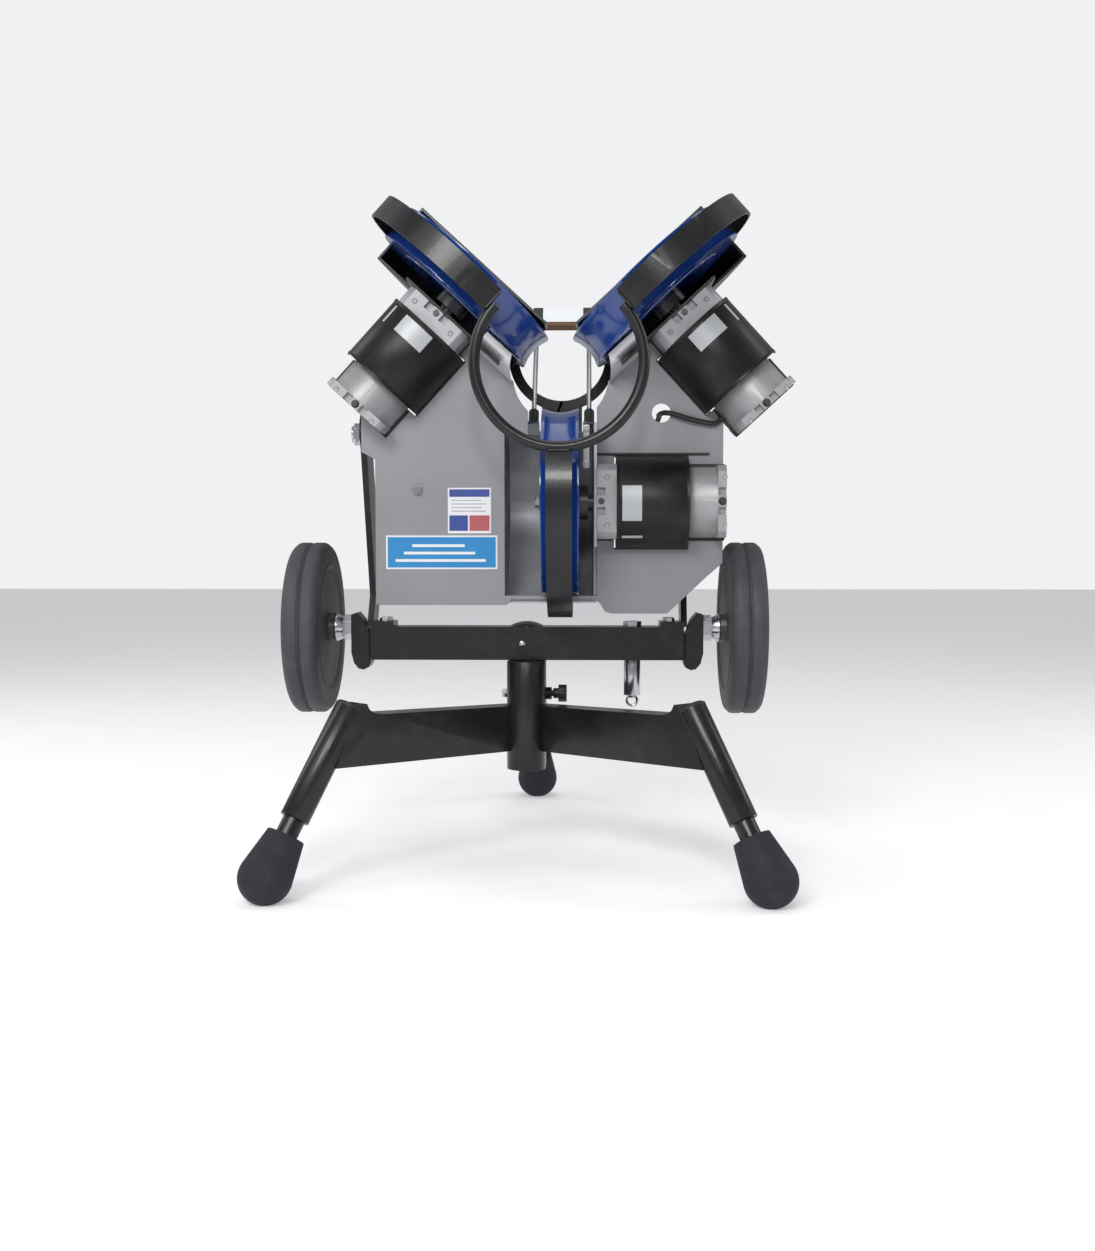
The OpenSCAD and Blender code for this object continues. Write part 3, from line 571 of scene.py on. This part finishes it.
def label(name, x_low, x_high, z_low, z_high, depth, look):
    """Flat label on the front plate; depth counts layers."""
    front = plate_front_y()
    low = Vector((x_low * MM + POST_X, front - depth * 0.25 * MM, z_low * MM))
    high = Vector((x_high * MM + POST_X, front - (depth - 1) * 0.25 * MM, z_high * MM))
    block(name, low, high, "head", "grey_paint", look, bevel=0.0001)


def labels():
    """Plain, wordless labels."""
    label("name_panel", -133, -27, 275, 307, 1, "label_white")
    label("name_panel_field", -131.4, -28.6, 276.6, 305.4, 2, "label_blue")
    for k in range(3):
        base = 282 + k * 7
        label(f"name_panel_stripe_{k}", -124 + k * 8, -38 - k * 10, base, base + 2.6, 3, "label_white")
    label("notice", -74, -33, 309, 352, 1, "label_white")
    label("notice_header", -72.6, -34.4, 343.5, 350.6, 2, "label_navy")
    label("notice_block_left", -72.6, -55, 311.4, 326, 2, "label_navy")
    label("notice_block_right", -53.5, -34.4, 311.4, 326, 2, "label_red")
    for k in range(4):
        label(f"notice_line_{k}", -71, -38 - 4 * (k % 2), 329.5 + 3.4 * k, 330.5 + 3.4 * k, 2, "label_silver")


def feed_details():
    """Felt strip under the cross-bar of the feed rails."""
    origin = Vector((POST_X + 6 * MM, POST_Y + 5 * MM, 412 * MM))
    m = Matrix.Translation(origin) @ Matrix.Rotation(radians(-43), 4, "X")
    low = Vector((7, -3.6, 153)) * MM
    high = Vector((47, 3.6, 157.9)) * MM
    block("cross_bar_strip", low, high, "head", "boot_rubber", "felt_brown", matrix=m)


def window_gap_shade():
    """Dark strip over the window of the lower motor: painted shade of the gap at the window's top edge."""
    front = plate_front_y()
    low = (POST_X + 64 * MM, front - 1.6 * MM, 382.3 * MM)
    high = (POST_X + 173 * MM, front, 384.6 * MM)
    block("window_gap_shade_line", low, high, "head", "boot_rubber")


def strip_bracket():
    """Grey strip on the cheek of the lower wheel cover, under the right rail boot."""
    cheek_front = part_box("lower_wheel_cover")[0].y
    x = POST_X
    low = (x + 54 * MM, cheek_front - 2 * MM, 368 * MM)
    high = (x + 60 * MM, cheek_front, 408 * MM)
    block("strip_bracket", low, high, "head", "zinc", "motor_grey")
    for z in (372, 404):
        spot = axes_matrix((x + 57 * MM, cheek_front - 2 * MM, z * MM), (1, 0, 0), (0, -1, 0))
        nut(f"strip_bolt_{z}", spot, 5 * MM, 2.4 * MM, "head", "zinc")


# ---------------------------------------------------------------- yoke, wheels and stand details

def beam_details():
    low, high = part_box("yoke_beam")
    middle = (low.z + high.z) / 2
    spot = axes_matrix((POST_X - 4 * MM, low.y, middle), (1, 0, 0), (0, -1, 0))
    lathe("beam_rivet", mm((3, 0), (2.8, 0.8), (1.8, 1.5), (0.6, 1.7)), "yoke", "zinc", spot, steps=32)
    for side, edge in (("left", low.x), ("right", high.x)):
        for y in (low.y + 3 * MM, high.y - 3 * MM):
            points = [(edge, y, low.z + (2 + k * 4) * MM) for k in range(7)]
            rod(f"{side}_beam_weld_{round(y * 1000)}", points, 1.6 * MM, "yoke", "black_paint")


def transport_details(side):
    sign = -1 if side == "left" else 1
    body = side + "_transport"
    low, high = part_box(side + "_tyre")
    axle = Vector(JOINT[side + "_transport_spin"]["pos_m"])
    inner, outer = (high.x, low.x) if sign < 0 else (low.x, high.x)
    for label_name, x, out in (("inner", inner, -sign), ("outer", outer, sign)):
        for k in range(6):
            a = 2 * pi * k / 6
            radial = Vector((0, cos(a), sin(a)))
            start = axle + radial * 16 * MM
            start.x = x - out * 8 * MM
            end = axle + radial * 50 * MM
            end.x = x - out * 9 * MM
            rod(f"{side}_{label_name}_rib_{k}", [start, end], 3.2 * MM, body, "hub_plastic")
        m = axes_matrix((x, axle.y, axle.z), (0, 1, 0), (out, 0, 0))
        lathe(f"{side}_{label_name}_rim", mm((56, -4), (57, -1), (60, 0.8), (63, 0.6), (64, -1)),
              body, "tyre_rubber", m, steps=96)
    start = axes_matrix((POST_X + sign * 178.2 * MM, axle.y, axle.z), (0, 1, 0), (sign, 0, 0))
    cone = mm((9, 0), (10.4, 0.4), (13.4, 6.4), (13.4, 7.2), (9, 7.2))
    lathe(f"{side}_axle_cone", cone, "yoke", "zinc", start)
    m = axes_matrix((outer, axle.y, axle.z), (0, 1, 0), (sign, 0, 0))
    lathe(f"{side}_hub_cap_ring", mm((15, -6), (15, 0.8), (12, 1.4), (10.8, 0.4)), body, "hub_plastic", m)


LEGS = (("front_left", "left_leg", -135), ("front_right", "right_leg", -45), ("rear", "back_leg", 90))


def stand_details():
    post = Vector((POST_X, POST_Y, 0))
    for name, leg_body, turn in LEGS:
        out = Vector((cos(radians(turn)), sin(radians(turn)), 0))
        across = Vector((-out.y, out.x, 0))
        for s in (-1, 1):
            base = post + out * 13.6 * MM + across * s * 12.5 * MM
            points = [base + Vector((0, 0, (103 + 5 * k) * MM)) for k in range(9)]
            rod(f"{name}_post_weld_{'a' if s < 0 else 'b'}", points, 1.8 * MM, "stand", "black_paint")
        axis = Vector(JOINT[leg_body + "_slide"]["axis"]).normalized()
        socket_top = post + out * 209.3 * MM + Vector((0, 0, 157 * MM))
        cap = axes_matrix(socket_top, across, -axis)
        lathe(f"{name}_socket_cap", mm((12.6, -3), (12.9, 0), (11.5, 1.4), (4, 2)),
              "stand", "boot_rubber", cap, steps=64)
    boss = axes_matrix((POST_X - 18.2 * MM, POST_Y, 154 * MM), (0, 1, 0), (-1, 0, 0))
    nut("post_stop_bolt", boss, 9 * MM, 6 * MM, "stand", "zinc")


def control_details():
    """Scales and pointers of the dials, and screws of the lid."""
    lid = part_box("control_lid")[1].y
    for side in ("lower", "left", "right"):
        centre = Vector(JOINT[side + "_speed_turn"]["pos_m"])
        for k in range(11):
            a = radians(240 - 30 * k)
            out = Vector((-cos(a), 0, sin(a)))
            p = Vector((centre.x, lid + 0.1 * MM, centre.z)) + out * 12.2 * MM
            tick = out * (1.6 if k % 5 else 2.4) * MM
            rod(f"{side}_scale_{k}", [p, p + tick], 0.3 * MM, "head", "box_paint", "label_white", segments=2)
        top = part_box(side + "_speed_dial")[1].y
        block(side + "_dial_pointer", (centre.x - 0.5 * MM, top - 1 * MM, centre.z + 2 * MM),
              (centre.x + 0.5 * MM, top + 0.2 * MM, centre.z + 9 * MM), side + "_dial", "knob_plastic",
              "label_white", bevel=0.0001)
    low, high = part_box("control_lid")
    for x in (low.x + 6 * MM, high.x - 6 * MM):
        for z in (low.z + 6 * MM, high.z - 6 * MM):
            spot = axes_matrix((x, lid, z), (1, 0, 0), (0, 1, 0))
            lathe(f"lid_screw_{round(x * 1000)}_{round(z * 1000)}",
                  mm((3.4, 0), (3.2, 1.1), (2.2, 1.9), (1.3, 1.9), (1.2, 1.2)),
                  "head", "zinc", spot, steps=24)


make_camera()
make_studio()
make_floor()
dress_cad()
for wheel_side in SPINS:
    motor_details(wheel_side)
    gap_shade_strips(wheel_side)
    wheel_details(wheel_side)
guard_details()
labels()
strip_bracket()
feed_details()
window_gap_shade()
for lip_side in ("left", "right"):
    slot_lip(lip_side)
beam_details()
for transport_side in ("left", "right"):
    transport_details(transport_side)
stand_details()
control_details()
